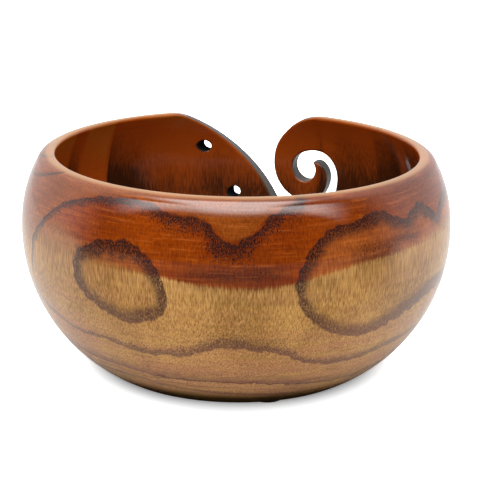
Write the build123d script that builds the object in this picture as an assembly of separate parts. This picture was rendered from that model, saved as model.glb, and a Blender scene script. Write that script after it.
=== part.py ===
from build123d import *
import math
import os

# Yarn bowl: a turned wooden bowl with a spiral yarn guide sawn through its wall,
# two yarn holes beside the guide, and small anti-slip dots under the foot.
# Millimetres. Origin on the table under the bowl's axis, +Z up.
# The guide is on the +Y side, and the saw and the drill go through the wall along Y.

# Overall size
BELLY_DIAMETER = 140.0
TOTAL_HEIGHT = 76.0

# Anti-slip dots
PAD_RADIUS = 5.0
PAD_THICKNESS = 1.2
PAD_COUNT = 4
PAD_CIRCLE_RADIUS = 27.0

# Outside of the turned body, as two arcs that meet a short upright band at the belly
BELLY_LOW_Z = 52.0
BELLY_HIGH_Z = 53.0
LOWER_ARC_RADIUS = 54.0
UPPER_ARC_RADIUS = 42.5
FOOT_EDGE_ROUND = 2.0

# Inside of the turned body, as one arc that runs into a flat floor
HOLLOW_CENTRE_Z = 53.0
HOLLOW_CENTRE_R = 15.2
HOLLOW_ARC_RADIUS = 49.0
FLOOR_Z = 7.5
FLOOR_BLEND = 25.0

# Lip of the bowl
LIP_OUTER_ROUND = 2.2
LIP_INNER_ROUND = 1.4

# Shallow turned recess in the underside
RECESS_RADIUS = 19.0
RECESS_DEPTH = 1.5

# Yarn guide, seen along Y with X to the right and Z up. The bank is one long arc from
# the lip down to the slot. The saw leans over along the bank, so the arc is steeper on a
# plane inside the bowl than on one outside it, and straight saw lines join the two. The
# slot and the curl are smooth runs through stations, each a point of the sawn edge and
# the edge's heading there.
RIGHT = (1, 0)
UP = (0, 1)
LEFT = (-1, 0)
DOWN = (0, -1)
INSIDE_PLANE_Y = 30.0
INSIDE_BANK_TOP = (-39.0, 77.9)
INSIDE_BANK_MIDDLE = (-19.3, 67.1)
OUTSIDE_PLANE_Y = 80.0
OUTSIDE_BANK_TOP = (-78.0, 77.9)
OUTSIDE_BANK_MIDDLE = (-41.0, 69.2)
BANK_FOOT = (-12.6, 45.4)
SLOT_STATIONS = (
    ((0.8, 39.8), RIGHT),
    ((11.7, 53.5), UP),
    ((3.8, 62.8), LEFT),
    ((-5.1, 56.2), DOWN),
    ((-0.5, 51.4), RIGHT),
    ((3.2, 55.3), (0.1, 1)),
    ((2.3, 58.5), (-0.5, 0.87)),
)
CURL_STATIONS = (
    ((2.3, 58.5), (0.87, 0.3)),
    ((7.7, 53.0), DOWN),
    ((0.6, 44.3), LEFT),
    ((-11.75, 57.0), UP),
    ((-5.4, 70.5), (0.72, 0.69)),
    ((9.0, 77.2), (0.95, 0.31)),
)
# Handle length over chord length that turns a quarter circle into a Bezier curve
HANDLE_SHARE = 0.39
MOUTH_FLARE = 4.0
MOUTH_TOP_Z = 90.0
GUIDE_EDGE_ROUND = 0.8

# Yarn holes
HOLE_RADIUS = 2.0
HOLE_CENTRES = ((-33.9, 63.0), (-24.8, 46.3))
HOLE_EDGE_ROUND = 0.4

BELLY_RADIUS = BELLY_DIAMETER / 2
BODY_BOTTOM_Z = PAD_THICKNESS


def circle_r(centre_r, centre_z, radius, z):
    """Distance from the bowl's axis to an arc of the profile, at height z."""
    return centre_r + math.sqrt(radius**2 - (z - centre_z) ** 2)


def turned_body():
    """The bowl as it comes off the lathe, before the guide is sawn."""
    lower_centre_r = BELLY_RADIUS - LOWER_ARC_RADIUS
    upper_centre_r = BELLY_RADIUS - UPPER_ARC_RADIUS
    foot_r = circle_r(lower_centre_r, BELLY_LOW_Z, LOWER_ARC_RADIUS, BODY_BOTTOM_Z)
    lip_outer_r = circle_r(upper_centre_r, BELLY_HIGH_Z, UPPER_ARC_RADIUS, TOTAL_HEIGHT)
    lip_inner_r = circle_r(HOLLOW_CENTRE_R, HOLLOW_CENTRE_Z, HOLLOW_ARC_RADIUS, TOTAL_HEIGHT)
    floor_r = circle_r(HOLLOW_CENTRE_R, HOLLOW_CENTRE_Z, HOLLOW_ARC_RADIUS, FLOOR_Z)
    recess_top_z = BODY_BOTTOM_Z + RECESS_DEPTH
    with BuildPart() as body:
        with BuildSketch(Plane.XZ) as section:
            with BuildLine():
                Polyline(
                    (0, FLOOR_Z),
                    (0, recess_top_z),
                    (RECESS_RADIUS, recess_top_z),
                    (RECESS_RADIUS, BODY_BOTTOM_Z),
                    (foot_r, BODY_BOTTOM_Z),
                )
                RadiusArc((foot_r, BODY_BOTTOM_Z), (BELLY_RADIUS, BELLY_LOW_Z), -LOWER_ARC_RADIUS)
                Line((BELLY_RADIUS, BELLY_LOW_Z), (BELLY_RADIUS, BELLY_HIGH_Z))
                RadiusArc((BELLY_RADIUS, BELLY_HIGH_Z), (lip_outer_r, TOTAL_HEIGHT), -UPPER_ARC_RADIUS)
                Line((lip_outer_r, TOTAL_HEIGHT), (lip_inner_r, TOTAL_HEIGHT))
                RadiusArc((lip_inner_r, TOTAL_HEIGHT), (floor_r, FLOOR_Z), HOLLOW_ARC_RADIUS)
                Line((floor_r, FLOOR_Z), (0, FLOOR_Z))
            make_face()
            rounds = (
                (foot_r, BODY_BOTTOM_Z, FOOT_EDGE_ROUND),
                (lip_outer_r, TOTAL_HEIGHT, LIP_OUTER_ROUND),
                (lip_inner_r, TOTAL_HEIGHT, LIP_INNER_ROUND),
                (floor_r, FLOOR_Z, FLOOR_BLEND),
            )
            for corner_r, corner_z, radius in rounds:
                corner = section.vertices().sort_by_distance(Vector(corner_r, corner_z))[0]
                fillet(corner, radius)
        revolve(axis=Axis.Z)
    return body.part


def smooth_run(stations):
    """Draws one Bezier curve between each pair of neighbouring stations."""
    for (start, heading), (end, next_heading) in zip(stations, stations[1:]):
        start = Vector(start)
        end = Vector(end)
        reach = (end - start).length * HANDLE_SHARE
        leaving = start + Vector(heading).normalized() * reach
        arriving = end - Vector(next_heading).normalized() * reach
        Bezier(start, leaving, arriving, end)


def guide_section(plane_y, bank_top, bank_middle):
    """Outline of the guide's opening on the plane at that Y: an open V at the lip that
    runs down, under the curl, up its far side, over its tip and into a round pocket."""
    curl_top = CURL_STATIONS[-1][0]
    with BuildSketch(Plane.XZ.offset(-plane_y)) as section:
        with BuildLine():
            bank = ThreePointArc(bank_top, bank_middle, BANK_FOOT)
            smooth_run(((BANK_FOOT, bank % 1), *SLOT_STATIONS))
            smooth_run(CURL_STATIONS)
            Polyline(
                curl_top,
                (curl_top[0] + MOUTH_FLARE, MOUTH_TOP_Z),
                (bank_top[0] - MOUTH_FLARE, MOUTH_TOP_Z),
                bank_top,
            )
        make_face()
    return section.sketch


def guide_void():
    """The space the saw leaves, joined by straight lines from the inner plane's outline
    to the outer plane's."""
    inside = guide_section(INSIDE_PLANE_Y, INSIDE_BANK_TOP, INSIDE_BANK_MIDDLE)
    outside = guide_section(OUTSIDE_PLANE_Y, OUTSIDE_BANK_TOP, OUTSIDE_BANK_MIDDLE)
    return loft([inside, outside], ruled=True)


def cut_and_ease(body, tool, radius):
    """Takes the tool's shape out of the body, then rounds the edges this leaves."""
    cut = body - tool
    return cut.fillet(radius, new_edges(body, tool, combined=cut))


def bowl_body():
    """The finished wooden bowl: turned, sawn and drilled, with every cut edge eased."""
    bowl = cut_and_ease(turned_body(), guide_void(), GUIDE_EDGE_ROUND)
    for x, z in HOLE_CENTRES:
        drill = Pos(x, BELLY_RADIUS, z) * Rot(90, 0, 0) * Cylinder(HOLE_RADIUS, BELLY_RADIUS)
        bowl = cut_and_ease(bowl, drill, HOLE_EDGE_ROUND)
    return bowl


def base_pads():
    """Identical anti-slip dots, spaced evenly under the foot."""
    dots = []
    for index in range(PAD_COUNT):
        angle = 45 + index * 360 / PAD_COUNT
        place = Rot(0, 0, angle) * Pos(PAD_CIRCLE_RADIUS, 0, PAD_THICKNESS / 2)
        dots.append(place * Cylinder(PAD_RADIUS, PAD_THICKNESS))
    return Compound(dots)


os.makedirs("parts", exist_ok=True)
export_step(bowl_body(), "parts/bowl_body.step")
export_step(base_pads(), "parts/base_pads.step")
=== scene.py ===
import math
from types import SimpleNamespace

import bpy
import numpy as np
from mathutils import Matrix, Vector


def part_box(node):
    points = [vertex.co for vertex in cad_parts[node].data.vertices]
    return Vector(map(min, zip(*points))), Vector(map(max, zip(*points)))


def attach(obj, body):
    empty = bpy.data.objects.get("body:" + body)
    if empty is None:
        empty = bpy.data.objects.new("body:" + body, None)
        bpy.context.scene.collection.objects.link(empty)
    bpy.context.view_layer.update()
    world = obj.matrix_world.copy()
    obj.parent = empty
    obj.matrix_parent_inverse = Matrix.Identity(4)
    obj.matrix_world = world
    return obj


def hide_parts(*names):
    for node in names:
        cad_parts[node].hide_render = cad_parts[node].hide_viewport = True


# Looks of a lacquered wooden yarn bowl. Shapes are worked out in millimetres in the shared
# frame: origin on the table under the bowl's axis, +Z up, the yarn guide on the +Y side.
# Azimuth is degrees round the bowl from the side that faces the main camera, growing
# towards the camera's right. Height is millimetres above the table.

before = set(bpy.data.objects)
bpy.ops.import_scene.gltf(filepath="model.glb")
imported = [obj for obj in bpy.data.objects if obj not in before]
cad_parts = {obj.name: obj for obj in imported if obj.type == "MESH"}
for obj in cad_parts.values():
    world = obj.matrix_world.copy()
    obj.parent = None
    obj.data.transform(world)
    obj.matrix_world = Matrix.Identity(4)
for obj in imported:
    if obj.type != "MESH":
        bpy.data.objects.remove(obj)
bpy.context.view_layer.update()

MM = 0.001
BODY_LOW, BODY_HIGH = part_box("bowl_body")
_, PADS_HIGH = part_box("base_pads")

# Turned body
BELLY_R = (BODY_HIGH.x - BODY_LOW.x) / 2 / MM
TOP_Z = BODY_HIGH.z / MM
BOTTOM_Z = BODY_LOW.z / MM
BELLY_LOW_Z = 52.0
BELLY_HIGH_Z = 53.0
LOWER_ARC_R = 54.0
UPPER_ARC_R = 42.5
HOLLOW_CENTRE_R = 15.2
HOLLOW_CENTRE_Z = 53.0
HOLLOW_ARC_R = 49.0
FLOOR_Z = 7.5
FLOOR_BLEND = 25.0
RECESS_R = 19.0
RECESS_TOP_Z = BOTTOM_Z + 1.5
LIP_OUTER_ROUND = 2.2
LIP_INNER_ROUND = 1.4
FOOT_ROUND = 2.0
RECESS_ROUND = 0.4
GUIDE_ROUND = 0.8
HOLE_ROUND = 0.4

# Yarn guide and holes, seen along Y with X to the right and Z up. The bank of the guide
# is an arc on a plane inside the bowl and on one outside it, joined by straight lines.
RIGHT = (1, 0)
UP = (0, 1)
LEFT = (-1, 0)
DOWN = (0, -1)
INSIDE_PLANE_Y = 30.0
INSIDE_BANK = ((-39.0, 77.9), (-19.3, 67.1))
OUTSIDE_PLANE_Y = 80.0
OUTSIDE_BANK = ((-78.0, 77.9), (-41.0, 69.2))
BANK_FOOT = (-12.6, 45.4)
SLOT_STATIONS = (
    ((0.8, 39.8), RIGHT),
    ((11.7, 53.5), UP),
    ((3.8, 62.8), LEFT),
    ((-5.1, 56.2), DOWN),
    ((-0.5, 51.4), RIGHT),
    ((3.2, 55.3), (0.1, 1)),
    ((2.3, 58.5), (-0.5, 0.87)),
)
CURL_STATIONS = (
    ((2.3, 58.5), (0.87, 0.3)),
    ((7.7, 53.0), DOWN),
    ((0.6, 44.3), LEFT),
    ((-11.75, 57.0), UP),
    ((-5.4, 70.5), (0.72, 0.69)),
    ((9.0, 77.2), (0.95, 0.31)),
)
HANDLE_SHARE = 0.39
MOUTH_FLARE = 4.0
MOUTH_TOP_Z = 90.0
HOLE_R = 2.0
HOLE_CENTRES = ((-33.9, 63.0), (-24.8, 46.3))

# Anti-slip dots under the foot
DOT_COUNT = 4
DOT_RADIUS = 5.0
DOT_CIRCLE_R = 27.0
DOT_RIM_ROUND = 0.4
DOT_SEGMENTS = 48
DOT_RIM_STEPS = 5
FIRST_DOT_ANGLE = 45

# Growth lines of the wood on the outside: (azimuth, height, width of the dark band).
# The outer edge of a band is crisp and its inner side fades along the fibres.
OUTER_LOOP = (
    (17, 75.6, 4.0),
    (13.5, 74, 4.5),
    (9, 71.4, 4.5),
    (4.8, 66.6, 4.5),
    (1.7, 64.4, 6.0),
    (-0.8, 63.6, 6.5),
    (-3.4, 64.6, 6.5),
    (-6.5, 68.6, 5.0),
    (-10, 70.2, 5.0),
    (-14.5, 70.7, 4.5),
    (-19, 71.6, 4.5),
    (-24, 73.5, 3.5),
    (-29, 74, 3.0),
    (-35, 73.5, 3.0),
    (-41.5, 72.6, 2.8),
    (-49, 70.3, 2.6),
    (-53.5, 68.2, 2.4),
    (-59, 63.8, 2.6),
    (-63, 59.6, 2.6),
    (-67, 54, 2.4),
    (-69, 46.5, 2.0),
    (-70.5, 40, 1.8),
    (-68, 32.5, 1.8),
    (-57.5, 28.9, 1.6),
    (-49, 26.9, 1.8),
    (-39.5, 27, 2.6),
    (-32, 25.4, 3.0),
    (-24, 24.6, 3.4),
    (-16, 25.1, 4.0),
    (-8.5, 27.4, 4.6),
    (-2.4, 29.2, 5.2),
    (5.6, 28.2, 4.6),
    (13, 26.6, 3.4),
    (20, 22.9, 2.8),
    (30, 20.7, 3.2),
    (40, 21, 3.2),
    (50, 22.6, 3.2),
    (68, 24.4, 3.0),
    (84, 27, 3.0),
    (102, 31, 3.0),
    (115, 41, 2.5),
    (121, 54, 2.0),
    (126, 68, 2.0),
    (122, 84, 2.0),
    (60, 90, 2.0),
    (22, 84, 3.0),
)
LEFT_OVAL = (
    (-46, 47, 3.4),
    (-45.3, 54.3, 3.8),
    (-42, 58.4, 4.4),
    (-39.5, 59.6, 4.8),
    (-36, 61.3, 5.0),
    (-29, 61.6, 5.0),
    (-24, 59.4, 4.4),
    (-20.4, 54.6, 3.4),
    (-17.8, 48.4, 2.9),
    (-17.8, 42, 3.0),
    (-20.5, 38, 3.8),
    (-25, 36.2, 4.2),
    (-29, 35.1, 3.8),
    (-36.5, 37.6, 3.4),
    (-42.6, 41.6, 3.2),
)
RIGHT_LOOP = (
    (15.6, 48, 2.6),
    (15.7, 52, 3.0),
    (17.2, 57.3, 3.2),
    (20.7, 62.8, 3.4),
    (24.5, 66.4, 3.4),
    (28, 67.5, 3.2),
    (31.5, 67.6, 3.2),
    (35.4, 68.7, 3.6),
    (39, 69.9, 3.8),
    (42.5, 69.6, 3.8),
    (46, 67.4, 3.2),
    (50.6, 65.8, 3.0),
    (54, 67.9, 3.6),
    (58, 68.8, 3.8),
    (62.4, 66.6, 3.4),
    (67, 63.2, 3.0),
    (71, 65.4, 2.4),
    (77, 67, 2.2),
    (87, 66, 2.0),
    (100, 60, 2.0),
    (107, 51, 2.0),
    (101, 43, 2.4),
    (84, 39, 3.6),
    (66, 37.8, 4.6),
    (54, 34.8, 4.6),
    (44, 31.3, 4.2),
    (35, 30.3, 3.8),
    (27, 32.7, 3.4),
    (21, 36.9, 3.2),
    (17, 42.5, 2.8),
)
BACK_LOOP = (
    (-92, 52, 2.0),
    (-97, 62, 2.4),
    (-110, 68, 3.4),
    (-124, 65, 3.8),
    (-136, 69, 4.0),
    (-150, 72, 4.0),
    (-168, 69, 3.6),
    (-186, 71, 3.4),
    (-200, 66, 3.0),
    (-208, 55, 2.2),
    (-206, 42, 2.0),
    (-194, 31, 2.8),
    (-176, 27, 3.6),
    (-158, 30, 4.2),
    (-140, 26, 4.0),
    (-120, 28, 3.2),
    (-102, 35, 2.6),
    (-94, 43, 2.0),
)
BACK_OVAL = (
    (-106, 49, 2.4),
    (-112, 57, 2.8),
    (-124, 59, 3.4),
    (-138, 57, 3.6),
    (-147, 49, 2.8),
    (-143, 40, 2.8),
    (-130, 35, 3.6),
    (-116, 38, 3.2),
)

# Lines that run right round the bowl, above the foot
SECOND_LINE = (
    (-180, 17.5, 3.0),
    (-140, 15, 3.0),
    (-100, 18, 3.0),
    (-50, 17.1, 3.6),
    (-36, 16.4, 4.0),
    (-25, 15.2, 4.4),
    (0, 14.8, 4.8),
    (12, 14, 4.8),
    (24, 12.6, 4.6),
    (45, 12, 4.0),
    (90, 13.5, 3.4),
    (135, 16, 3.2),
)
THIRD_LINE = (
    (-180, 9, 1.6),
    (-90, 12, 1.6),
    (-39, 12.6, 1.8),
    (-24, 10.6, 1.8),
    (0, 9.2, 1.8),
    (26, 8.0, 1.8),
    (90, 9, 1.6),
    (135, 11, 1.6),
)
# Fine lines near the lip at the left: they end in the open
UPPER_FINE_LINE = (
    (-100, 67, 1.0),
    (-90, 68.6, 1.7),
    (-77, 70.7, 1.7),
    (-63, 74.6, 1.4),
    (-58, 77, 1.0),
)
UPPER_SHORT_LINE = ((-88, 74.2, 1.2), (-80, 75.6, 1.7), (-72, 77.5, 1.2))

# Height where the tan lower wood gives way to the orange upper wood: (azimuth, height,
# softness of the change)
COLOUR_EDGE = (
    (-180, 50, 2.0),
    (-140, 54, 2.0),
    (-100, 58, 6.0),
    (-70, 57, 13.0),
    (-55, 58, 12.0),
    (-46, 56.5, 8.0),
    (-31, 53.6, 2.6),
    (-19, 52.0, 1.0),
    (-9, 50.4, 1.0),
    (4, 49.6, 1.0),
    (14, 50.6, 1.0),
    (22, 53, 1.0),
    (33, 55.2, 1.1),
    (47, 56.3, 1.3),
    (56, 57.2, 2.0),
    (75, 59, 5.0),
    (110, 56, 4.0),
    (150, 52, 2.0),
)
# Dark stains just above that edge: centre azimuth, centre height, half width in
# degrees, half height in millimetres
STAINS = (
    (0, 53.6, 12.5, 2.6),
    (7, 54.3, 6, 2.4),
    (40, 58.2, 9, 3.4),
    (50, 60, 7, 2.6),
    (-165, 57, 14, 3.0),
    (120, 60, 10, 3.0),
)
# Bands down the inside: azimuth and tone, where 0 is the darkest wood and 1 the palest
INNER_TONES = (
    (-180, 0.52),
    (-160, 0.55),
    (-150, 0.50),
    (-142, 0.36),
    (-136.4, 0.24),
    (-135.2, 0.80),
    (-124, 0.78),
    (-122, 0.42),
    (-116, 0.30),
    (-115, 0.72),
    (-95, 0.66),
    (-70, 0.50),
    (-69, 0.72),
    (-30, 0.62),
    (-12, 0.42),
    (-11, 0.66),
    (30, 0.60),
    (52, 0.40),
    (53, 0.64),
    (90, 0.50),
    (104, 0.22),
    (112, 0.16),
    (118, 0.30),
    (121, 0.14),
    (130, 0.24),
    (132, 0.35),
    (146, 0.38),
    (151, 0.47),
    (152.5, 0.33),
    (155, 0.48),
)

# Floor of the hollow: its tone, its faint wavering bands, and the radii between which
# the bands of the wall take over
FLOOR_TONE = 0.54
FLOOR_BAND_TONE = 0.05
FLOOR_BAND_LENGTH = 2.1
FLOOR_WAVER = 3
FLOOR_WAVER_LENGTH = 31
WALL_BANDS_FROM = (28, 48)
# Wood inside grows paler with height, and again towards the lip; the darker wood low in the
# hollow is partly stain and partly painted shade
HEIGHT_TONE = 0.34
HEIGHT_TONE_START = 58
HEIGHT_TONE_RISE = 20
LIP_TONE = 0.12
LIP_TONE_HEIGHTS = (70, 75)
# Painted shade on the wood just under the lip: azimuth of its middle, half width in degrees,
# heights
SHOULDER_SHADE_AZIMUTH = 52
SHOULDER_SHADE_HALF_WIDTH = 32
SHOULDER_SHADE_HEIGHTS = (62, 70)

# Grid that the bowl's skin is found on: rays from a point inside the wall's curve,
# then upright lines across the middle of the floor
SECTION_CENTRE_R = 16.0
SECTION_CENTRE_Z = 52.5
GRID_NEAREST = 43.2
GRID_FARTHEST = 56.2
GRID_STEP = 0.5
LOWEST_RAY = -90.0
GUIDE_RAY = -16.0
HIGHEST_RAY = 34.0
COARSE_RAY_STEP = 1.15
FINE_RAY_STEP = 0.55
AXIS_GAP = 1.0
FLOOR_STEP = 1.25
GUIDE_HALF_ANGLE = 46.0
GUIDE_ANGLE = 90.0
FINE_ANGLE_STEP = 0.42
COARSE_ANGLE_STEP = 1.0

# Passes that settle the skin's points on the surface, and the longest move in one pass
SETTLING_PASSES = 5
LONGEST_MOVE = 0.4
GENTLEST_RATE = 0.5

# Marks on the skin, each from where it starts to where it is complete. A face belongs to
# a cut when it is near it and looks into it; 1 would be squarely.
INSIDE_FACING = (0.3, 0.8)
SAWN_FACING = (0.75, 0.95)
DRILLED_FACING = (0.5, 0.8)
NEAR_HOLLOW, NEAR_GUIDE, NEAR_HOLE = 2.0, 1.2, 0.6
SAW_STAIN_TOP = (75.3, 74.3)
# Painted highlight: a pale band along the top of the lip, between these heights
PAINTED_RIM_HIGHLIGHT = (TOP_Z - 0.5, TOP_Z - 0.1)
# Painted shade over the foot's rounding: none above the first height, full below the second
PAINTED_FOOT_SHADE = (12.0, 5.5)
OUTER_SKIN = 1.5
LEAST_RADIUS = 20

# Camera
CAMERA_AZIMUTH = 22.0
CAMERA_ELEVATION = 15.55
CAMERA_DISTANCE = 0.9
CAMERA_LENS = 197.4
CAMERA_AIM = Vector((0, 0, 0.040))
CAMERA_SHIFT = (0.0284, 0.0158)
CAMERA_ROLL = 0.73

# Floor, in metres. Its own glow hides every shadow but an oval one round the foot, whose
# edge is given as shares of its reach sideways and in depth.
FLOOR_RADIUS = 0.8
FLOOR_GLOW = 0.95
SHADOW_GLOW = 0.03
SHADOW_SETBACK = 0.031
SHADOW_REACH = (0.0575, 0.0712, 1.0)
SHADOW_EDGE = (0.765, 1.0)
FLOOR_HUSH = (0.35, 0.93)

# Light, as strengths and as parts of the unit direction it comes from: the rise, the
# distance to the side and the distance to the front
KEY_LIGHT = 7.6
KEY_RISE = (0.59, 0.67)
KEY_BACK = (-0.3, 0.0)
KEY_SIDES = (0.22, 0.50)
KEY_SIDESTEP = -0.03
KEY_BEND = 0.5
STRIP_TOP = (0.70, 0.80)
STRIP_SIDES = (0.60, 0.90)
STRIP_SHARE = 0.8
SURROUND_LIGHT = 1.2
FRONT_LIGHT = 0.03


# ------------------------------------------------------------------ shape of the bowl


def rounded_max(a, b, radius):
    """The larger of two signed distances, with the corner between them rounded."""
    corner = np.hypot(np.maximum(a + radius, 0), np.maximum(b + radius, 0))
    return np.minimum(np.maximum(a, b), -radius) + corner


def bezier_run(stations, steps=10):
    """Points of the Bezier curves between each pair of neighbouring stations."""
    share = np.linspace(0, 1, steps, endpoint=False)[:, None]
    points = []
    for (start, heading), (end, next_heading) in zip(stations, stations[1:]):
        start, end = np.array(start, float), np.array(end, float)
        leaving = np.array(heading, float) / math.hypot(*heading)
        arriving = np.array(next_heading, float) / math.hypot(*next_heading)
        reach = np.linalg.norm(end - start) * HANDLE_SHARE
        first, second = start + leaving * reach, end - arriving * reach
        points.extend(
            (1 - share) ** 3 * start
            + 3 * (1 - share) ** 2 * share * first
            + 3 * (1 - share) * share**2 * second
            + share**3 * end
        )
    points.append(np.array(stations[-1][0], float))
    return points


def circle_through(a, b, c):
    """Centre of the circle through three points."""
    (ax, ay), (bx, by), (cx, cy) = a, b, c
    d = 2 * (ax * (by - cy) + bx * (cy - ay) + cx * (ay - by))
    a2, b2, c2 = ax**2 + ay**2, bx**2 + by**2, cx**2 + cy**2
    ux = (a2 * (by - cy) + b2 * (cy - ay) + c2 * (ay - by)) / d
    uy = (a2 * (cx - bx) + b2 * (ax - cx) + c2 * (bx - ax)) / d
    return np.array((ux, uy))


def guide_outline(bank_top, bank_middle, steps=28):
    """Closed outline of the guide's opening on one plane, as (x, z) points."""
    centre = circle_through(bank_top, bank_middle, BANK_FOOT)
    radius = math.dist(centre, bank_top)
    first = math.atan2(*(np.array(bank_top) - centre)[::-1])
    last = math.atan2(*(np.array(BANK_FOOT) - centre)[::-1])
    turn = np.linspace(first, last, steps)
    bank = centre + radius * np.stack((np.cos(turn), np.sin(turn)), 1)
    foot_heading = (math.sin(last), -math.cos(last))
    curl_top = CURL_STATIONS[-1][0]
    mouth = ((curl_top[0] + MOUTH_FLARE, MOUTH_TOP_Z), (bank_top[0] - MOUTH_FLARE, MOUTH_TOP_Z))
    slot = bezier_run(((BANK_FOOT, foot_heading), *SLOT_STATIONS))
    curl = bezier_run(CURL_STATIONS)
    return np.concatenate((bank[:-1], slot[:-1], curl, mouth))


def outline_distance(outline, x, z):
    """Signed distance from points to a closed outline, negative inside it."""
    nearest = np.full(x.shape, np.inf)
    inside = np.zeros(x.shape, bool)
    for (x0, z0), (x1, z1) in zip(outline, np.roll(outline, -1, axis=0)):
        dx, dz = x1 - x0, z1 - z0
        share = np.clip(((x - x0) * dx + (z - z0) * dz) / (dx * dx + dz * dz), 0, 1)
        nearest = np.minimum(nearest, (x - x0 - share * dx) ** 2 + (z - z0 - share * dz) ** 2)
        if dz:
            inside ^= ((z0 > z) != (z1 > z)) & (x < x0 + (z - z0) * dx / dz)
    return np.where(inside, -1, 1) * np.sqrt(nearest)


class GuideTable:
    """The guide's signed distance, looked up from a table of slices across the wall."""

    CELL = np.array((0.25, 5.0, 0.25))
    LOW = np.array((-54.0, 34.0, 36.0))
    HIGH = np.array((18.0, 76.0, 80.0))

    def __init__(self):
        xs, ys, zs = (np.arange(*span) for span in zip(self.LOW, self.HIGH, self.CELL))
        spots = np.meshgrid(xs, zs, indexing="ij")
        inside, outside = guide_outline(*INSIDE_BANK), guide_outline(*OUTSIDE_BANK)
        slices = []
        for y in ys:
            share = (y - INSIDE_PLANE_Y) / (OUTSIDE_PLANE_Y - INSIDE_PLANE_Y)
            slices.append(outline_distance(inside + share * (outside - inside), *spots))
        self.table = np.stack(slices, 1)

    def __call__(self, points):
        place = (points - self.LOW) / self.CELL
        place = np.clip(place, 0, np.array(self.table.shape) - 1.001)
        cell = place.astype(int)
        share = place - cell
        i, j, k = np.moveaxis(cell, -1, 0)
        total = 0
        for a in (0, 1):
            for b in (0, 1):
                for c in (0, 1):
                    weight = np.abs(np.array((1 - a, 1 - b, 1 - c)) - share).prod(-1)
                    total = total + weight * self.table[i + a, j + b, k + c]
        return total


guide_distance = GuideTable()


def outer_distance(r, z):
    """Signed distance to the outside's two arcs and the upright band between them."""
    low_centre, high_centre = BELLY_R - LOWER_ARC_R, BELLY_R - UPPER_ARC_R
    low = np.hypot(r - low_centre, z - BELLY_LOW_Z) - LOWER_ARC_R
    high = np.hypot(r - high_centre, z - BELLY_HIGH_Z) - UPPER_ARC_R
    return np.where(z < BELLY_LOW_Z, low, np.where(z > BELLY_HIGH_Z, high, r - BELLY_R))


def hollow_distance(r, z):
    """Signed distance to the hollow's wall, floor and the arc that blends the two."""
    reach = HOLLOW_ARC_R - FLOOR_BLEND
    down = FLOOR_Z + FLOOR_BLEND - HOLLOW_CENTRE_Z
    across = math.sqrt(reach**2 - down**2)
    from_r, from_z = r - HOLLOW_CENTRE_R - across, z - HOLLOW_CENTRE_Z - down
    in_blend = (from_r > 0) & (across * from_z < down * from_r)
    arc = np.hypot(r - HOLLOW_CENTRE_R, z - HOLLOW_CENTRE_Z) - HOLLOW_ARC_R
    blend = np.hypot(from_r, from_z) - FLOOR_BLEND
    return np.where(in_blend, blend, np.maximum(arc, FLOOR_Z - z))


def hole_distance(x, z):
    """Signed distance to the nearest yarn hole, seen along Y."""
    return np.minimum.reduce([np.hypot(x - hx, z - hz) - HOLE_R for hx, hz in HOLE_CENTRES])


def hollow_at(points):
    """The hollow's distance at points in space."""
    return hollow_distance(np.hypot(points[..., 0], points[..., 1]), points[..., 2])


def holes_at(points):
    """The yarn holes' distance at points in space."""
    return hole_distance(points[..., 0], points[..., 2])


def bowl_distance(points):
    """Signed distance to the finished bowl, negative inside the wood."""
    x, y, z = points[..., 0], points[..., 1], points[..., 2]
    r = np.hypot(x, y)
    solid = rounded_max(outer_distance(r, z), z - TOP_Z, LIP_OUTER_ROUND)
    solid = rounded_max(solid, -hollow_distance(r, z), LIP_INNER_ROUND)
    solid = rounded_max(solid, BOTTOM_Z - z, FOOT_ROUND)
    recess = np.maximum(r - RECESS_R, z - RECESS_TOP_Z)
    solid = rounded_max(solid, -recess, RECESS_ROUND)
    sawn = rounded_max(solid, -guide_distance(points), GUIDE_ROUND)
    sawn = rounded_max(sawn, -hole_distance(x, z), HOLE_ROUND)
    return np.where(y > 0, sawn, solid)


def slope(distance, points, reach=0.06):
    """Unit direction in which a distance grows, and the distance's rate there."""
    grown = []
    for axis in range(3):
        step = np.zeros(3)
        step[axis] = reach
        grown.append((distance(points + step) - distance(points - step)) / (2 * reach))
    grown = np.stack(grown, -1)
    rate = np.maximum(np.linalg.norm(grown, axis=-1, keepdims=True), 1e-6)
    return grown / rate, rate


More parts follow.
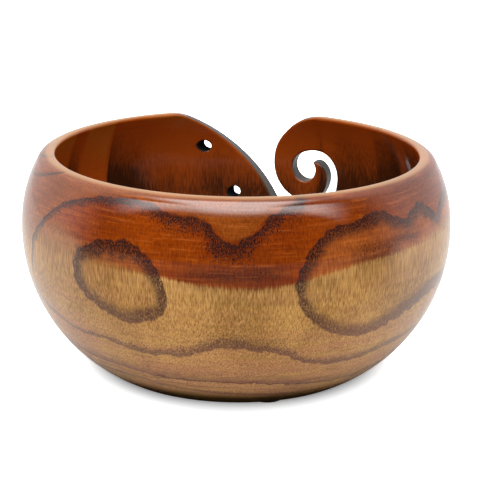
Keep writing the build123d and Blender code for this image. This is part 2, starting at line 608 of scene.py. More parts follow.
def surface_net(field, places):
    """Points and four-sided faces of a field's zero surface, on a grid whose first axis
    is a closed circle. Also gives the index of each grid cell's point."""
    count_j, count_k = field.shape[1] - 1, field.shape[2] - 1
    corners = [(a, b, c) for a in (0, 1) for b in (0, 1) for c in (0, 1)]

    def at(values, a, b, c):
        return np.roll(values, -a, axis=0)[:, b : b + count_j, c : c + count_k]

    inside = field < 0
    filled = sum(at(inside, *corner).astype(int) for corner in corners)
    active = (filled > 0) & (filled < len(corners))
    index = np.full(active.shape, -1)
    index[active] = np.arange(active.sum())
    values = [at(field, *corner)[active] for corner in corners]
    spots = [at(places, *corner)[active] for corner in corners]
    total = np.zeros_like(spots[0])
    hits = np.zeros(len(total))
    for first, a in enumerate(corners):
        for second, b in enumerate(corners):
            if second <= first or sum(abs(p - q) for p, q in zip(a, b)) != 1:
                continue
            crossing = (values[first] < 0) != (values[second] < 0)
            gap = values[first] - values[second]
            share = values[first] / np.where(crossing, gap, 1)
            point = spots[first] + share[:, None] * (spots[second] - spots[first])
            total += np.where(crossing[:, None], point, 0)
            hits += crossing
    points = total / hits[:, None]

    faces = []
    ahead = np.roll(inside, -1, axis=0)
    back = np.roll(index, 1, axis=0)
    changed = (inside != ahead)[:, 1:-1, 1:-1]
    ring = (index[:, :-1, :-1], index[:, 1:, :-1], index[:, 1:, 1:], index[:, :-1, 1:])
    faces.append(np.stack([part[changed] for part in ring], 1))
    changed = (inside[:, :-1, :] != inside[:, 1:, :])[:, :, 1:-1]
    ring = (back[:, :, :-1], index[:, :, :-1], index[:, :, 1:], back[:, :, 1:])
    faces.append(np.stack([part[changed] for part in ring], 1))
    changed = (inside[:, :, :-1] != inside[:, :, 1:])[:, 1:-1, :]
    ring = (back[:, :-1, :], index[:, :-1, :], index[:, 1:, :], back[:, 1:, :])
    faces.append(np.stack([part[changed] for part in ring], 1))
    return points, np.concatenate(faces), index


def grid_steps():
    """Angles round the axis, and (r, z) of each grid line at each depth."""
    first, last = GUIDE_ANGLE - GUIDE_HALF_ANGLE, GUIDE_ANGLE + GUIDE_HALF_ANGLE
    fine = np.arange(first, last, FINE_ANGLE_STEP)
    rest = 360 - 2 * GUIDE_HALF_ANGLE
    count = round(rest / COARSE_ANGLE_STEP)
    coarse = last + np.arange(count) * rest / count
    angles = np.radians(np.concatenate((fine, coarse)))
    depth = np.arange(GRID_NEAREST, GRID_FARTHEST, GRID_STEP)
    low_rays = np.arange(LOWEST_RAY, GUIDE_RAY, COARSE_RAY_STEP)
    high_rays = np.arange(GUIDE_RAY, HIGHEST_RAY + FINE_RAY_STEP, FINE_RAY_STEP)
    rays = np.radians(np.concatenate((low_rays, high_rays)))[:, None]
    flat = np.arange(AXIS_GAP, SECTION_CENTRE_R, FLOOR_STEP)[:, None]
    flat_r, flat_z = flat + 0 * depth, SECTION_CENTRE_Z - depth + 0 * flat
    ray_r = SECTION_CENTRE_R + depth * np.cos(rays)
    ray_z = SECTION_CENTRE_Z + depth * np.sin(rays)
    return angles, np.concatenate((flat_r, ray_r)), np.concatenate((flat_z, ray_z))


def bowl_skin():
    """Points, faces and normals of the bowl."""
    angles, r, z = grid_steps()
    x = np.cos(angles)[:, None, None] * r
    y = np.sin(angles)[:, None, None] * r
    places = np.stack((x, y, np.broadcast_to(z, x.shape)), -1)
    points, quads, index = surface_net(bowl_distance(places), places)
    faces = [list(quad) for quad in quads]
    for layer in range(index.shape[2]):
        loop = index[:, 0, layer]
        if (loop >= 0).all():
            middle = (0, 0, points[loop, 2].mean())
            faces.extend([loop[i - 1], loop[i], len(points)] for i in range(len(loop)))
            points = np.concatenate((points, [middle]))
    for _ in range(SETTLING_PASSES):
        normals, rate = slope(bowl_distance, points)
        step = bowl_distance(points)[:, None] / np.maximum(rate, GENTLEST_RATE)
        points = points - normals * np.clip(step, -LONGEST_MOVE, LONGEST_MOVE)
    normals, _ = slope(bowl_distance, points)
    turned = []
    for face in faces:
        a, b, c = points[face[0]], points[face[1]], points[face[2]]
        across = np.cross(b - a, c - a)
        if len(face) == 4:
            across = np.cross(c - a, points[face[3]] - b)
        turned.append(face if across @ normals[face[0]] > 0 else face[::-1])
    return points, turned, normals


# --------------------------------------------------------------- figure of the wood


def half_turn(angle):
    """The same angle in degrees, brought between -180 and 180."""
    return (angle + 180) % 360 - 180


def fade(value, start, full):
    """0 up to where a value starts to count, and 1 from where it counts in full."""
    return np.clip((value - start) / (full - start), 0, 1)


def climb(height):
    """Distance along the outside surface from the belly up to a height."""
    low = LOWER_ARC_R * np.arcsin(np.clip((height - BELLY_LOW_Z) / LOWER_ARC_R, -1, 1))
    high = UPPER_ARC_R * np.arcsin(np.clip((height - BELLY_HIGH_Z) / UPPER_ARC_R, -1, 1))
    upright = height - BELLY_LOW_Z
    above = np.where(height > BELLY_HIGH_Z, BELLY_HIGH_Z - BELLY_LOW_Z + high, upright)
    return np.where(height < BELLY_LOW_Z, low, above)


def smooth_line(points, closed, steps=5):
    """A Catmull-Rom curve through the points, as rows like the points."""
    points = np.array(points, float)
    if closed:
        padded = np.concatenate((points[-1:], points, points[:2]))
    else:
        ends = 2 * points[[0, -1]] - points[[1, -2]]
        padded = np.concatenate((ends[:1], points, ends[1:]))
    share = np.linspace(0, 1, steps, endpoint=False)[:, None]
    rows = []
    for p, a, b, q in zip(padded, padded[1:], padded[2:], padded[3:]):
        rows.append(
            a
            + share * (b - p) / 2
            + share**2 * (2 * p - 5 * a + 4 * b - q) / 2
            + share**3 * (3 * a - p - 3 * b + q) / 2
        )
    if not closed:
        rows.append(points[-1:])
    return np.concatenate(rows)


def growth_line(points, closed, azimuth, height, radius):
    """How deep each place lies inside a growth line, in widths of the line's dark band:
    0 on the crisp edge and 1 where the band has faded. Open lines fade upwards."""
    rows = smooth_line(points, closed)
    middle = (rows[:, 0].min() + rows[:, 0].max()) / 2
    azimuth = half_turn(azimuth - middle) + middle
    scale = np.radians(1) * radius
    level = climb(height)
    levels = climb(rows[:, 1])
    nearest = np.full(azimuth.shape, np.inf)
    width = np.ones(azimuth.shape)
    side = np.zeros(azimuth.shape)
    inside = np.zeros(azimuth.shape, bool)
    last = len(rows) if closed else len(rows) - 1
    for i in range(last):
        j = (i + 1) % len(rows)
        u = (azimuth - rows[i, 0]) * scale
        v = level - levels[i]
        du = (rows[j, 0] - rows[i, 0]) * scale
        dv = levels[j] - levels[i]
        share = np.clip((u * du + v * dv) / (du * du + dv * dv), 0, 1)
        gap = (u - share * du) ** 2 + (v - share * dv) ** 2
        closer = gap < nearest
        nearest = np.where(closer, gap, nearest)
        width = np.where(closer, rows[i, 2] + share * (rows[j, 2] - rows[i, 2]), width)
        side = np.where(closer, du * v - dv * u, side)
        if closed and dv:
            crossed = rows[i, 0] + v / dv * (rows[j, 0] - rows[i, 0])
            inside ^= ((levels[i] > level) != (levels[j] > level)) & (azimuth < crossed)
    sign = np.where(inside, 1, -1) if closed else np.sign(side)
    return sign * np.sqrt(nearest) / width


def round_line(points, azimuth):
    """Height and width, at each azimuth, of a line that runs right round the bowl."""
    rows = smooth_line([*points, (points[0][0] + 360, *points[0][1:])], False)
    heights = np.interp(azimuth, rows[:, 0], rows[:, 1])
    return heights, np.interp(azimuth, rows[:, 0], rows[:, 2])


def strongest(*depths):
    """Of several growth lines, the one whose band is nearest at each place."""
    depths = np.stack(depths)
    off = np.where(depths < 0, -2 * depths, np.maximum(depths - 1, 0))
    return np.take_along_axis(depths, off.argmin(0)[None], 0)[0]


def cut_face(distance, points, normals, near):
    """How squarely each point's face looks into a cut, and 0 away from the cut."""
    direction, _ = slope(distance, points)
    return -(direction * normals).sum(1) * (np.abs(distance(points)) < near)


def line_figure(azimuth, z, r):
    """How deep each point lies inside the growth lines."""
    place = (azimuth, z, np.maximum(r, LEAST_RADIUS))
    outer = growth_line(OUTER_LOOP, True, *place)
    closed = (LEFT_OVAL, RIGHT_LOOP, BACK_LOOP, BACK_OVAL)
    left, right, back, back_oval = [growth_line(line, True, *place) for line in closed]
    fine = [growth_line(line, False, *place) for line in (UPPER_FINE_LINE, UPPER_SHORT_LINE)]
    rounds = []
    for line in (SECOND_LINE, THIRD_LINE):
        height, width = round_line(line, azimuth)
        rounds.append((climb(z) - climb(height)) / width)
    loops = strongest(left, right, back, back_oval)
    return {
        "main_lines": np.stack((outer, loops, strongest(*rounds)), 1),
        "fine_line": strongest(*fine),
        "loop_core": np.maximum.reduce((left, right, back)),
    }


def stain_figure(azimuth, z):
    """How strong the dark stains above the colour edge are at each point."""
    stain = np.zeros(len(z))
    for centre, height, half_width, half_height in STAINS:
        across = half_turn(azimuth - centre) / half_width
        up = (climb(z) - climb(height)) / half_height
        stain = np.maximum(stain, np.exp(-(across**4) - up**2))
    return stain


def inner_tone(x, y, z, r, azimuth):
    """Tone of the wood inside: bands down the wall, paler towards the lip, that give way
    to faint straight bands across the floor."""
    tones = np.array([*INNER_TONES, (INNER_TONES[0][0] + 360, INNER_TONES[0][1])])
    wall = np.interp(azimuth, tones[:, 0], tones[:, 1])
    waver = FLOOR_WAVER * np.sin(y / FLOOR_WAVER_LENGTH)
    floor = FLOOR_TONE + FLOOR_BAND_TONE * np.sin(x / FLOOR_BAND_LENGTH + waver)
    tone = floor + (wall - floor) * fade(r, *WALL_BANDS_FROM)
    # Darker lower down the hollow: partly stain, partly painted shade
    rise = np.clip((z - HEIGHT_TONE_START) / HEIGHT_TONE_RISE, -0.5, 1)
    return tone + HEIGHT_TONE * rise + LIP_TONE * fade(z, *LIP_TONE_HEIGHTS)


def shoulder_shade_figure(azimuth, z):
    """How strong the painted shade under the lip is at each point."""
    across = (azimuth - SHOULDER_SHADE_AZIMUTH) / SHOULDER_SHADE_HALF_WIDTH
    return np.exp(-(across**2)) * fade(z, *SHOULDER_SHADE_HEIGHTS)


def wood_figure(points, normals):
    """Numbers the wood material reads at each point."""
    x, y, z = points.T
    r = np.hypot(x, y)
    azimuth = half_turn(np.degrees(np.arctan2(y, x)) + 90 - CAMERA_AZIMUTH)
    edge_height, edge_softness = round_line(COLOUR_EDGE, azimuth)
    inside = cut_face(hollow_at, points, normals, NEAR_HOLLOW)
    sawn = np.where(y > 0, cut_face(guide_distance, points, normals, NEAR_GUIDE), 0)
    drilled = np.where(y > 0, cut_face(holes_at, points, normals, NEAR_HOLE), 0)
    return {
        **line_figure(azimuth, z, r),
        # Painted highlight along the top of the lip
        "rim": fade(z, *PAINTED_RIM_HIGHLIGHT),
        # Painted shade over the outside of the foot, near the table
        "foot": fade(z, *PAINTED_FOOT_SHADE) * (outer_distance(r, z) > -OUTER_SKIN),
        "colour_edge": np.stack((climb(z) - climb(edge_height), edge_softness, 0 * z), 1),
        "stain": stain_figure(azimuth, z),
        "tone": inner_tone(x, y, z, r, azimuth),
        "shoulder_shade": shoulder_shade_figure(azimuth, z),
        # Painted shade under the lip
        "inside": fade(inside, *INSIDE_FACING),
        "sawn": fade(sawn, *SAWN_FACING) * fade(z, *SAW_STAIN_TOP),
        "drilled": fade(drilled, *DRILLED_FACING),
    }


def make_mesh(name, points, faces, normals=None):
    """A mesh object in metres from points in millimetres."""
    places = (np.asarray(points) * MM).tolist()
    mesh = bpy.data.meshes.new(name)
    mesh.from_pydata(places, [], [[int(i) for i in face] for face in faces])
    mesh.update()
    mesh.shade_smooth()
    if normals is not None:
        mesh.normals_split_custom_set_from_vertices(np.asarray(normals).tolist())
    piece = bpy.data.objects.new(name, mesh)
    bpy.context.scene.collection.objects.link(piece)
    return piece


def add_numbers(piece, numbers):
    """Stores per-point numbers on a mesh for its material to read."""
    for name, values in numbers.items():
        kind = "FLOAT_VECTOR" if values.ndim == 2 else "FLOAT"
        field = "vector" if values.ndim == 2 else "value"
        attribute = piece.data.attributes.new(name, kind, "POINT")
        attribute.data.foreach_set(field, values.astype(np.float32).ravel())


# ---------------------------------------------------------------------- materials


class Nodes:
    """Short calls for building a material's nodes."""

    def __init__(self, name):
        self.material = bpy.data.materials.new(name)
        self.material.use_nodes = True
        self.tree = self.material.node_tree
        self.tree.nodes.clear()
        self.shader = self.add("ShaderNodeBsdfPrincipled")
        output = self.add("ShaderNodeOutputMaterial")
        self.tree.links.new(self.shader.outputs["BSDF"], output.inputs["Surface"])

    def add(self, kind, **settings):
        """A new node of a kind, with its settings."""
        node = self.tree.nodes.new(kind)
        for key, value in settings.items():
            setattr(node, key, value)
        return node

    def put(self, socket, value):
        """Gives a socket a link, a colour written as rrggbb, or a plain value."""
        if isinstance(value, bpy.types.NodeSocket):
            self.tree.links.new(value, socket)
        elif isinstance(value, str):
            socket.default_value = colour(value)
        else:
            socket.default_value = value

    def set(self, name, value):
        """The same, for a named input of the material's shader."""
        self.put(self.shader.inputs[name], value)

    def math(self, operation, *values, clamp=False):
        node = self.add("ShaderNodeMath", operation=operation, use_clamp=clamp)
        for socket, value in zip(node.inputs, values):
            self.put(socket, value)
        return node.outputs[0]

    def plus(self, a, b):
        return self.math("ADD", a, b)

    def minus(self, a, b):
        return self.math("SUBTRACT", a, b)

    def times(self, a, b):
        return self.math("MULTIPLY", a, b)

    def larger(self, a, b):
        return self.math("MAXIMUM", a, b)

    def span(self, value, low, high, out_low=0.0, out_high=1.0):
        """A smooth step from out_low at low to out_high at high."""
        node = self.add("ShaderNodeMapRange", interpolation_type="SMOOTHSTEP")
        for socket, number in zip(node.inputs, (value, low, high, out_low, out_high)):
            self.put(socket, number)
        return node.outputs[0]

    def mix(self, share, a, b, blend="MIX"):
        """Colour a with a share of colour b laid over it."""
        node = self.add("ShaderNodeMix", data_type="RGBA", blend_type=blend)
        self.put(node.inputs[0], share)
        self.put(node.inputs[6], a)
        self.put(node.inputs[7], b)
        return node.outputs[2]

    def number(self, name):
        """A number stored at the mesh's points."""
        return self.add("ShaderNodeAttribute", attribute_name=name).outputs["Fac"]

    def vector(self, name):
        """Three numbers stored together at the mesh's points."""
        stored = self.add("ShaderNodeAttribute", attribute_name=name)
        node = self.add("ShaderNodeSeparateXYZ")
        self.put(node.inputs[0], stored.outputs["Vector"])
        return node.outputs

    def noise(self, scale, detail=2.0, roughness=0.5):
        """Noise with about this many features per millimetre along each axis."""
        place = self.add("ShaderNodeMapping")
        self.put(place.inputs["Vector"], self.add("ShaderNodeTexCoord").outputs["Object"])
        self.put(place.inputs["Scale"], [part / MM for part in scale])
        node = self.add("ShaderNodeTexNoise")
        self.put(node.inputs["Vector"], place.outputs[0])
        self.put(node.inputs["Scale"], 1.0)
        self.put(node.inputs["Detail"], detail)
        self.put(node.inputs["Roughness"], roughness)
        return node.outputs["Fac"]

    def bump(self, height, distance, normal=None):
        """A relief this many millimetres high, on top of another one if given."""
        node = self.add("ShaderNodeBump")
        self.put(node.inputs["Height"], height)
        self.put(node.inputs["Distance"], distance * MM)
        self.put(node.inputs["Strength"], 1.0)
        if normal is not None:
            self.put(node.inputs["Normal"], normal)
        return node.outputs[0]

    def ramp(self, value, stops):
        """The colour at a value between stops, each a position and a colour."""
        node = self.add("ShaderNodeValToRGB")
        elements = node.color_ramp.elements
        while len(elements) < len(stops):
            elements.new(0.5)
        for element, (position, code) in zip(elements, stops):
            element.position, element.color = position, colour(code)
        self.put(node.inputs[0], value)
        return node.outputs[0]


def colour(code):
    """Scene colour of a screen colour written as rrggbb."""
    channels = [int(code[i : i + 2], 16) / 255 for i in (0, 2, 4)]
    linear = [c / 12.92 if c <= 0.04045 else ((c + 0.055) / 1.055) ** 2.4 for c in channels]
    return (*linear, 1.0)


def wood_grain(n):
    """The noises that several parts of the wood's look share. The upright ones have their
    features stretched along Z, and the ones across have them stretched round the bowl."""
    hair = n.noise((2.6, 2.6, 0.25))
    waver = n.noise((0.35, 0.35, 0.3), detail=1.5)
    return SimpleNamespace(
        hair=hair,
        raised=n.minus(hair, 0.5),
        threads=n.noise((3.6, 3.6, 0.24), detail=1.0),
        pores=n.noise((3.0, 3.0, 1.4), detail=1.0),
        drift=n.noise((0.05, 0.05, 0.03), detail=3.0),
        wobble=n.times(n.minus(waver, 0.5), 0.8),
        swirl=n.noise((0.03, 0.03, 0.35), detail=4.0, roughness=0.6),
        turning=n.noise((0.012, 0.012, 0.8), detail=4.0, roughness=0.7),
        streaks=n.noise((0.07, 0.07, 1.1), detail=3.0, roughness=0.65),
    )


def growth_band(n, grain, depth, core, thinning, edge=0.1):
    """Darkness of a growth band: a crisp edge and a solid core, then dark pores that
    thin out with depth."""
    depth = n.plus(depth, grain.wobble)
    start = n.span(depth, -edge, edge)
    solid = n.span(n.plus(depth, n.times(grain.raised, 1.6)), *core, 0.92, 0.0)
    solid = n.times(solid, n.span(grain.pores, 0.34, 0.50, 0.5, 1.0))
    scarcity = n.plus(n.times(depth, thinning), 0.37)
    spots = n.span(n.minus(grain.pores, scarcity), -0.02, 0.06)
    return n.times(start, n.larger(solid, spots))


def round_band(n, grain, depth):
    """Darkness of the lines above the foot: a thin crisp line with a soft shade above."""
    depth = n.plus(depth, grain.wobble)
    shade = n.times(n.span(depth, -0.08, 0.08), n.span(depth, 0.0, 1.4, 0.6, 0.0))
    crisp = n.span(n.math("ABSOLUTE", n.minus(depth, 0.1)), 0.03, 0.16, 0.88, 0.0)
    return n.larger(shade, crisp)


def plain_wood(n, grain, upper, above_edge, outer):
    """Tan wood below the colour edge and orange wood above it, with their stains, and a painted
    shade under the lip.
    """
    tan = n.mix(n.span(grain.drift, 0.35, 0.65), "9a7036", "ba8c4c")
    ruddy = n.times(n.span(grain.swirl, 0.36, 0.64), n.span(above_edge, -34.0, -14.0, 0.75, 0.25))
    tan = n.mix(ruddy, tan, "a8704c")
    orange = n.mix(n.span(grain.drift, 0.3, 0.7), "742a02", "943e04")
    rust = n.mix(n.span(grain.swirl, 0.38, 0.62), "7a2c02", "9c4804")
    orange = n.mix(n.span(above_edge, 0.0, 14.0, 0.75, 0.0), orange, rust)
    wood = n.mix(upper, tan, orange)
    beyond = n.times(n.span(outer, -0.3, 0.1, 1.0, 0.0), upper)
    wood = n.mix(n.times(beyond, 0.6), wood, "8a4a16")
    in_loop = n.times(n.span(n.number("loop_core"), 0.0, 0.8), upper)
    wood = n.mix(n.times(in_loop, 0.5), wood, "b0642f")
    stain = n.times(n.number("stain"), n.span(grain.pores, 0.36, 0.6, 0.45, 1.0))
    wood = n.mix(n.times(stain, 0.82), wood, "2a100c")
    # Painted shade: the wood under the lip is darkened
    return n.mix(n.times(n.number("shoulder_shade"), 0.4), wood, "50280c")


def fibres_and_marks(n, grain, wood, upper, above_edge):
    """Adds upright fibres, dark and pale, then the marks that run round the bowl."""
    wood = n.mix(n.span(grain.hair, 0.35, 0.7, 0.0, 0.5), wood, "8a6a50", "MULTIPLY")
    wood = n.mix(n.span(grain.threads, 0.52, 0.66, 0.0, 0.38), wood, "3c2210")
    pale_threads = n.span(grain.threads, 0.34, 0.46, 0.32, 0.0)
    wood = n.mix(n.math("SUBTRACT", pale_threads, upper, clamp=True), wood, "d0a268")
    wood = n.mix(n.span(grain.turning, 0.4, 0.75, 0.0, 0.16), wood, "4a260c")
    streaky = n.larger(upper, n.span(above_edge, -34.0, -24.0, 0.7, 0.1))
    dark_streaks = n.times(n.span(grain.streaks, 0.50, 0.72, 0.0, 0.45), streaky)
    pale_streaks = n.times(n.span(grain.streaks, 0.30, 0.48, 0.22, 0.0), upper)
    return n.mix(pale_streaks, n.mix(dark_streaks, wood, "4c1c08"), "c0682a")


def inside_wood(n, grain):
    """Stained wood of the hollow, in upright bands."""
    tone = n.plus(n.number("tone"), n.times(grain.raised, 0.3))
    tone = n.plus(tone, n.times(n.minus(grain.drift, 0.5), 0.4))
    dark, pale = ((0.0, "1c1008"), (0.3, "40200f")), ((0.8, "ac4e12"), (1.0, "b0601c"))
    return n.ramp(tone, (*dark, (0.55, "a04812"), *pale))


def lacquer(n, grain, lines):
    """A clear coat, dull on the cut faces and the foot, over a low relief."""
    # The coat is also dulled under the foot's painted shade
    dull = n.larger(n.number("drilled"), n.number("foot"))
    dull = n.larger(dull, n.times(n.number("sawn"), 0.5))
    dull = n.larger(dull, n.times(n.number("inside"), 0.5))
    n.set("Roughness", n.span(n.noise((0.25, 0.25, 0.25)), 0.3, 0.7, 0.38, 0.5))
    n.set("Specular IOR Level", 0.0)
    n.set("Coat Weight", n.span(dull, 0.0, 1.0, 0.9, 0.0))
    n.set("Coat IOR", 1.7)
    n.set("Coat Roughness", n.span(grain.turning, 0.3, 0.7, 0.04, 0.12))
    relief = n.bump(n.times(lines, grain.pores), 0.05)
    for layer, height in ((grain.hair, 0.02), (grain.turning, 0.08), (grain.streaks, 0.06)):
        relief = n.bump(layer, height, relief)
    n.set("Normal", relief)


def lacquered_wood():
    """Wood with upright fibres, dark growth bands and a clear satin lacquer."""
    n = Nodes("lacquered_wood")
    grain = wood_grain(n)
    outer, loops, rounds = n.vector("main_lines")
    above_edge, softness, _ = n.vector("colour_edge")
    rough_edge = n.plus(above_edge, n.times(grain.raised, 2.6))
    upper = n.span(n.math("DIVIDE", rough_edge, softness), -0.8, 0.8)
    wood = plain_wood(n, grain, upper, above_edge, outer)
    wood = fibres_and_marks(n, grain, wood, upper, above_edge)

    outer_band = growth_band(n, grain, outer, (0.2, 1.0), 0.22)
    loop_band = growth_band(n, grain, loops, (0.7, 1.6), 0.25)
    fine_band = growth_band(n, grain, n.number("fine_line"), (0.1, 0.9), 0.6, edge=0.25)
    lines = n.larger(outer_band, loop_band)
    darkness = n.span(above_edge, -30.0, 0.0, 0.78, 0.92)
    ink = n.mix(n.span(above_edge, -30.0, 8.0), "4e2f2a", "261412")
    wood = n.mix(round_band(n, grain, rounds), wood, "54302a")
    wood = n.mix(fine_band, wood, "1c0e0a")
    wood = n.mix(n.times(lines, darkness), wood, ink)

    # Painted highlight: a pale band along the top of the lip
    wood = n.mix(n.times(n.number("rim"), 0.5), wood, "b88850")
    # Painted shade: the foot's outside darkens towards the table
    wood = n.mix(n.span(n.number("foot"), 0.1, 1.0, 0.0, 0.95), wood, "1c150a")
    wood = n.mix(n.number("inside"), wood, inside_wood(n, grain))
    saw_stain = n.mix(n.noise((0.6, 0.6, 0.6), detail=3.0), "282626", "443c36")
    wood = n.mix(n.number("sawn"), wood, saw_stain)
    wood = n.mix(n.number("drilled"), wood, "1e2222")
    n.set("Base Color", wood)
    lacquer(n, grain, lines)
    return n.material


def anti_slip_rubber():
    """Dark matt rubber with a faint moulded grain and dust."""
    n = Nodes("anti_slip_rubber")
    cloud = n.noise((0.5, 0.5, 0.5), detail=4.0)
    dust = n.span(n.noise((4.0, 4.0, 4.0)), 0.6, 0.75)
    n.set("Base Color", n.mix(n.times(dust, 0.25), n.mix(cloud, "26272a", "34363a"), "77746e"))
    n.set("Roughness", n.span(cloud, 0.3, 0.7, 0.62, 0.8))
    n.set("Normal", n.bump(n.noise((6.0, 6.0, 6.0)), 0.05))
    return n.material


# ------------------------------------------------------------------------- pieces


def dot_profile():
    """(r, z) points of a dot's side, from its rounded upper rim down to its lower rim."""
    flat = DOT_RADIUS - DOT_RIM_ROUND
    profile = []
    for centre_z, first in ((PADS_HIGH.z / MM - DOT_RIM_ROUND, 90), (DOT_RIM_ROUND, 0)):
        for step in range(DOT_RIM_STEPS + 1):
            turn = math.radians(first - 90 * step / DOT_RIM_STEPS)
            across, up = DOT_RIM_ROUND * math.cos(turn), DOT_RIM_ROUND * math.sin(turn)
            profile.append((flat + across, centre_z + up))
    return profile


def anti_slip_dots():
    """Low rubber dots with rounded rims, under the foot."""
    profile = dot_profile()
    points, faces = [], []
    for dot in range(DOT_COUNT):
        bearing = math.radians(FIRST_DOT_ANGLE + 360 * dot / DOT_COUNT)
        cx, cy = DOT_CIRCLE_R * math.cos(bearing), DOT_CIRCLE_R * math.sin(bearing)
        top = len(points)
        points.append((cx, cy, PADS_HIGH.z / MM))
        for radius, height in profile:
            for k in range(DOT_SEGMENTS):
                turn = math.tau * k / DOT_SEGMENTS
                x, y = cx + radius * math.cos(turn), cy + radius * math.sin(turn)
                points.append((x, y, height))
        bottom = len(points)
        points.append((cx, cy, 0.0))
        last = bottom - DOT_SEGMENTS
        for k in range(DOT_SEGMENTS):
            after = (k + 1) % DOT_SEGMENTS
            faces.append((top, top + 1 + k, top + 1 + after))
            for a in range(top + 1, last, DOT_SEGMENTS):
                b = a + DOT_SEGMENTS
                faces.append((a + k, b + k, b + after, a + after))
            faces.append((last + k, bottom, last + after))
    return make_mesh("anti_slip_dots", points, faces)


skin_points, skin_faces, skin_normals = bowl_skin()
bowl = make_mesh("yarn_bowl_body", skin_points, skin_faces, skin_normals)
add_numbers(bowl, wood_figure(skin_points, skin_normals))
bowl.data.materials.append(lacquered_wood())
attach(bowl, "root")
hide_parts("bowl_body")

dots = anti_slip_dots()
dots.data.materials.append(anti_slip_rubber())
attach(dots, "root")
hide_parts("base_pads")


# -------------------------------------------------------------------------- stage


class World(Nodes):
    """The same short calls, for the studio's surroundings."""

    def __init__(self, name):
        self.world = bpy.data.worlds.new(name)
        self.world.use_nodes = True
        self.tree = self.world.node_tree
        self.tree.nodes.clear()


def towards(azimuth, elevation):
    """Unit vector from the bowl towards an azimuth and an elevation."""
    around, up = math.radians(CAMERA_AZIMUTH + azimuth), math.radians(elevation)
    flat = math.cos(up)
    return Vector((math.sin(around) * flat, -math.cos(around) * flat, math.sin(up)))


def floor_glow(n):
    """The floor's own light at each place, with a soft oval left dark round the foot."""
    oval = n.add("ShaderNodeMapping", vector_type="TEXTURE")
    n.put(oval.inputs["Vector"], n.add("ShaderNodeTexCoord").outputs["Object"])
    n.put(oval.inputs["Location"], towards(180, 0) * SHADOW_SETBACK)
    n.put(oval.inputs["Rotation"], (0, 0, math.radians(CAMERA_AZIMUTH)))
    n.put(oval.inputs["Scale"], SHADOW_REACH)
    reach = n.add("ShaderNodeVectorMath", operation="LENGTH")
    n.put(reach.inputs[0], oval.outputs[0])
    return n.span(reach.outputs["Value"], *SHADOW_EDGE, SHADOW_GLOW, FLOOR_GLOW)


def studio_floor():
    """A round pale table top. It glows for the camera alone, as an overexposed white sweep
    does, and in the lacquer it looks darker than it is, most of all in front."""
    bpy.ops.mesh.primitive_circle_add(vertices=128, radius=FLOOR_RADIUS, fill_type="NGON")
    floor = bpy.context.object
    floor.name = "floor"
    n = Nodes("floor_paper")
    paper = n.mix(n.noise((0.2, 0.2, 0.2), detail=3.0), "f2f2f2", "f6f6f6")
    forward = n.add("ShaderNodeVectorMath", operation="DOT_PRODUCT")
    n.put(forward.inputs[0], n.add("ShaderNodeTexCoord").outputs["Object"])
    n.put(forward.inputs[1], towards(0, 0))
    rays = n.add("ShaderNodeLightPath").outputs
    hushed = n.span(forward.outputs["Value"], 0.0, 0.1, *FLOOR_HUSH)
    n.set("Base Color", n.mix(n.times(hushed, rays["Is Glossy Ray"]), paper, "000000"))
    n.set("Roughness", 0.9)
    n.set("Specular IOR Level", 0.2)
    n.set("Emission Color", "ffffff")
    n.set("Emission Strength", n.times(rays["Is Camera Ray"], floor_glow(n)))
    floor.data.materials.append(n.material)


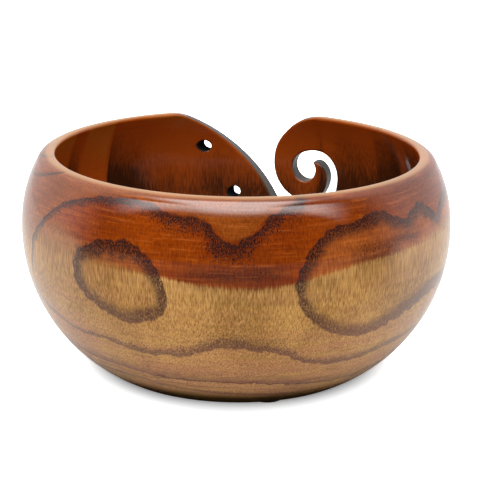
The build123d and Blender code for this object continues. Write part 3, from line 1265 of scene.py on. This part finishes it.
def studio_surroundings():
    """White all round for the camera. For the light: a key lamp overhead whose near edge
    bends down at both sides, pale walls behind, and dark in front."""
    w = World("studio")
    bpy.context.scene.world = w.world
    turned = w.add("ShaderNodeVectorRotate", rotation_type="Z_AXIS")
    w.put(turned.inputs["Vector"], w.add("ShaderNodeNewGeometry").outputs["Incoming"])
    w.put(turned.inputs["Angle"], math.radians(-CAMERA_AZIMUTH))
    parts = w.add("ShaderNodeSeparateXYZ")
    w.put(parts.inputs[0], turned.outputs[0])
    sideways, front, drop = parts.outputs
    sideways = w.math("ABSOLUTE", w.plus(sideways, KEY_SIDESTEP))
    bent = w.plus(w.times(drop, -1.0), w.times(w.math("POWER", sideways, 4.0), KEY_BEND))
    strip = w.span(bent, *STRIP_TOP, STRIP_SHARE, 0.0)
    strip = w.times(strip, w.span(sideways, *STRIP_SIDES, 1.0, 0.0))
    key = w.larger(w.span(sideways, *KEY_SIDES, 1.0, 0.0), strip)
    key = w.times(w.times(key, w.span(bent, *KEY_RISE)), w.span(front, *KEY_BACK))
    around = w.span(front, -0.3, 0.3, SURROUND_LIGHT, FRONT_LIGHT)

    shown, light = w.add("ShaderNodeBackground"), w.add("ShaderNodeBackground")
    split = w.add("ShaderNodeMixShader")
    w.put(light.inputs["Strength"], w.plus(around, w.times(key, KEY_LIGHT)))
    w.put(shown.inputs["Color"], "ffffff")
    w.put(split.inputs[0], w.add("ShaderNodeLightPath").outputs["Is Camera Ray"])
    w.put(split.inputs[1], light.outputs[0])
    w.put(split.inputs[2], shown.outputs[0])
    w.put(w.add("ShaderNodeOutputWorld").inputs["Surface"], split.outputs[0])


def softbox(name, azimuth, elevation, distance, size, radiance):
    """A rectangular lamp that faces the bowl and stays out of its reflections."""
    away = towards(azimuth, elevation)
    light = bpy.data.lights.new(name, "AREA")
    light.shape = "RECTANGLE"
    light.size, light.size_y = size
    light.energy = radiance * size[0] * size[1] * math.pi
    holder = bpy.data.objects.new(name, light)
    holder.visible_glossy = False
    holder.location = CAMERA_AIM + away * distance
    holder.rotation_euler = away.to_track_quat("Z", "Y").to_euler()
    bpy.context.scene.collection.objects.link(holder)


def main_camera():
    """The camera that sees the bowl as the photograph does."""
    camera = bpy.data.objects.new("main_camera", bpy.data.cameras.new("main_camera"))
    away = towards(0, CAMERA_ELEVATION)
    camera.location = CAMERA_AIM + away * CAMERA_DISTANCE
    level = away.to_track_quat("Z", "Y").to_matrix()
    roll = Matrix.Rotation(math.radians(CAMERA_ROLL), 3, "Z")
    camera.rotation_euler = (level @ roll).to_euler()
    camera.data.lens = CAMERA_LENS
    camera.data.sensor_width = 36.0
    camera.data.shift_x, camera.data.shift_y = CAMERA_SHIFT
    bpy.context.scene.collection.objects.link(camera)
    bpy.context.scene.camera = camera


bpy.context.scene.view_settings.view_transform = "Standard"
studio_floor()
studio_surroundings()
softbox("left_softbox", azimuth=-100, elevation=45, distance=1.2, size=(1.0, 1.0), radiance=0.55)
main_camera()
